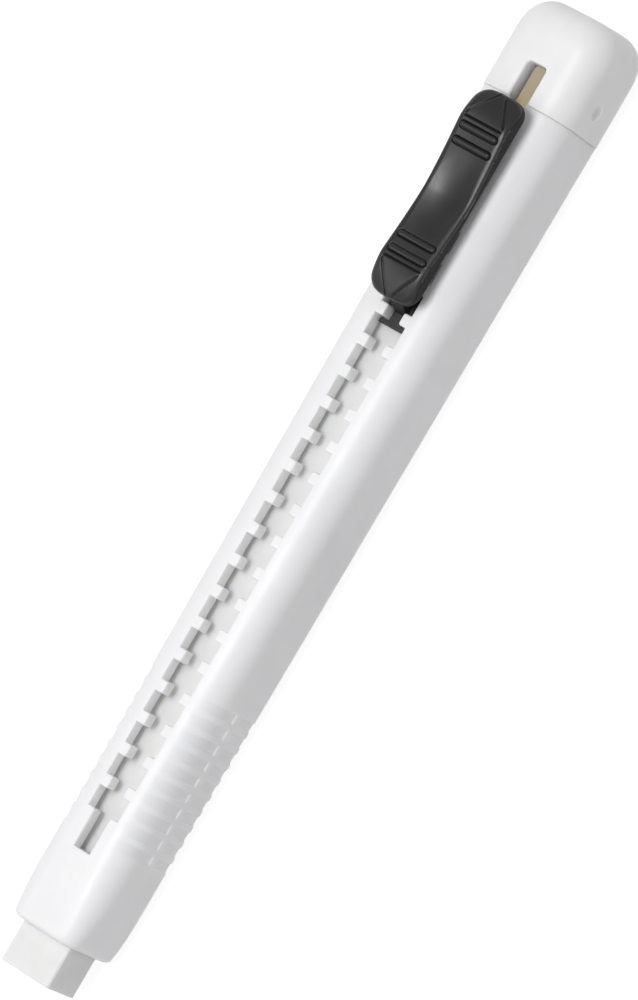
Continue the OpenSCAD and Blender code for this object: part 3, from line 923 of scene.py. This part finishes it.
# floor, light and camera
stageLook = {
    "floorSize": 1.6,   # metres
    "floorGap": 0.02,   # millimetres under the object, so that the two share no face
    "floorColour": 0.64, "shadowColour": 0.3, "floorWhite": 0.85,
    "skyLight": 0.49, "backdropColour": 0.8, "ceiling": 0.48,
    "backdropTop": (0.1, 0.4),   # the sines between which the backdrop falls to the ceiling's strength
}


def grey(value):
    return (value, value, value, 1)


def larger(nodes, links, first, second):
    pick = nodes.new("ShaderNodeMath")
    pick.operation = "MAXIMUM"
    links.new(first, pick.inputs[0])
    links.new(second, pick.inputs[1])
    return pick.outputs[0]


def seenRay(nodes, links):
    # 1 for what the camera sees, directly, mirrored or through glass
    path = nodes.new("ShaderNodeLightPath").outputs
    direct = larger(nodes, links, path["Is Camera Ray"], path["Is Glossy Ray"])
    return larger(nodes, links, direct, path["Is Transmission Ray"])


def mixShaders(nodes, links, factor, first, second):
    # the first where the factor is 0 and the second where it is 1
    mix = nodes.new("ShaderNodeMixShader")
    links.new(factor, mix.inputs["Fac"])
    links.new(first.outputs[0], mix.inputs[1])
    links.new(second.outputs[0], mix.inputs[2])
    return mix


def diffuse(nodes, value):
    shader = nodes.new("ShaderNodeBsdfDiffuse")
    shader.inputs["Color"].default_value = grey(value)
    return shader


def background(nodes, value, strength):
    shader = nodes.new("ShaderNodeBackground")
    shader.inputs["Color"].default_value = grey(value)
    shader.inputs["Strength"].default_value = strength
    return shader


def makeFloor():
    look = stageLook
    half, z = look["floorSize"] / 2, -look["floorGap"] * milli
    mesh = bpy.data.meshes.new("floor")
    corners = [(-half, -half, z), (half, -half, z), (half, half, z), (-half, half, z)]
    mesh.from_pydata(corners, [], [(0, 1, 2, 3)])
    floor = bpy.data.objects.new("floor", mesh)
    bpy.context.scene.collection.objects.link(floor)
    material = bpy.data.materials.new("paleFloor")
    material.use_nodes = True
    nodes, links = material.node_tree.nodes, material.node_tree.links
    nodes.clear()
    # seen, it is white and keeps the shadow; for the light that it throws back it is a pale grey
    lit, shade = diffuse(nodes, look["floorColour"]), diffuse(nodes, look["shadowColour"])
    white = nodes.new("ShaderNodeEmission")
    white.inputs["Strength"].default_value = look["floorWhite"]
    both = nodes.new("ShaderNodeAddShader")
    links.new(shade.outputs[0], both.inputs[0])
    links.new(white.outputs[0], both.inputs[1])
    mix = mixShaders(nodes, links, seenRay(nodes, links), lit, both)
    out = nodes.new("ShaderNodeOutputMaterial")
    links.new(mix.outputs[0], out.inputs["Surface"])
    mesh.materials.append(material)
    floor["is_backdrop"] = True


def makeSky():
    look = stageLook
    world = bpy.data.worlds.new("studio")
    bpy.context.scene.world = world
    world.use_nodes = True
    nodes, links = world.node_tree.nodes, world.node_tree.links
    nodes.clear()
    light = background(nodes, 1.0, look["skyLight"])
    # a pale backdrop all round under a darker ceiling, for what mirrors them
    backdrop = background(nodes, look["backdropColour"], 1.0)
    place = nodes.new("ShaderNodeTexCoord")
    split = nodes.new("ShaderNodeSeparateXYZ")
    links.new(place.outputs["Generated"], split.inputs[0])
    fall = nodes.new("ShaderNodeMapRange")
    fall.inputs["From Min"].default_value, fall.inputs["From Max"].default_value = look["backdropTop"]
    fall.inputs["To Min"].default_value, fall.inputs["To Max"].default_value = 1.0, look["ceiling"]
    links.new(split.outputs["Z"], fall.inputs["Value"])
    links.new(fall.outputs["Result"], backdrop.inputs["Strength"])
    mirrored = mixShaders(nodes, links, seenRay(nodes, links), light, backdrop)
    # plain white where the camera looks past the floor
    plain = background(nodes, 1.0, 1.0)
    path = nodes.new("ShaderNodeLightPath")
    whole = mixShaders(nodes, links, path.outputs["Is Camera Ray"], mirrored, plain)
    out = nodes.new("ShaderNodeOutputWorld")
    links.new(whole.outputs[0], out.inputs["Surface"])


lampLook = {
    # where each soft lamp stands, its size and its power, in metres and watts
    "keyLamp": ((-0.03, -0.02, 0.6), (0.18, 0.24), 1.72),
    "tipLamp": ((-0.27, 0.31, 0.5), (0.2, 0.2), 0.35),
}


def makeLamps():
    for name, (place, size, power) in lampLook.items():
        lamp = bpy.data.lights.new(name, "AREA")
        lamp.shape = "RECTANGLE"
        lamp.size, lamp.size_y = size
        lamp.energy = power
        stand = bpy.data.objects.new(name, lamp)
        stand.location = place
        stand.rotation_mode = "QUATERNION"
        stand.rotation_quaternion = Vector(place).to_track_quat("Z", "Y")
        bpy.context.scene.collection.objects.link(stand)


cameraLook = {
    # the photograph's view: its middle and distance in metres, the barrel's tilt in it and its focal length
    "middle": (0.000115, -0.000207, 0.00588), "distance": 0.8, "tilt": 59.8, "elevation": 60.0,
    "focalPixels": 7256, "imageHeight": 1000, "sensor": 36.0,
}


def makeCamera():
    look = cameraLook
    tilt, rise = math.radians(look["tilt"]), math.radians(look["elevation"])
    back = Vector((0, -math.cos(rise), math.sin(rise)))
    level = Vector((1, 0, 0))
    over = back.cross(level)
    right = level * math.cos(tilt) - over * math.sin(tilt)
    up = level * math.sin(tilt) + over * math.cos(tilt)
    camera = bpy.data.cameras.new("camera")
    camera.sensor_width = look["sensor"]
    camera.lens = look["focalPixels"] / look["imageHeight"] * look["sensor"]
    camera.clip_start, camera.clip_end = 0.01, 10
    stand = bpy.data.objects.new("camera", camera)
    turn = Matrix((right, up, back)).transposed().to_4x4()
    stand.matrix_world = Matrix.Translation(Vector(look["middle"]) + back * look["distance"]) @ turn
    bpy.context.scene.collection.objects.link(stand)
    bpy.context.scene.camera = stand


makeFloor()
makeSky()
makeLamps()
makeCamera()
bpy.context.scene.view_settings.view_transform = "Standard"
print("floor, lights and camera made")

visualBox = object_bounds()
for name, box in (("cad", cadBox), ("visual", visualBox)):
    print("size", name, [[round(v / milli, 2) for v in p] for p in box])
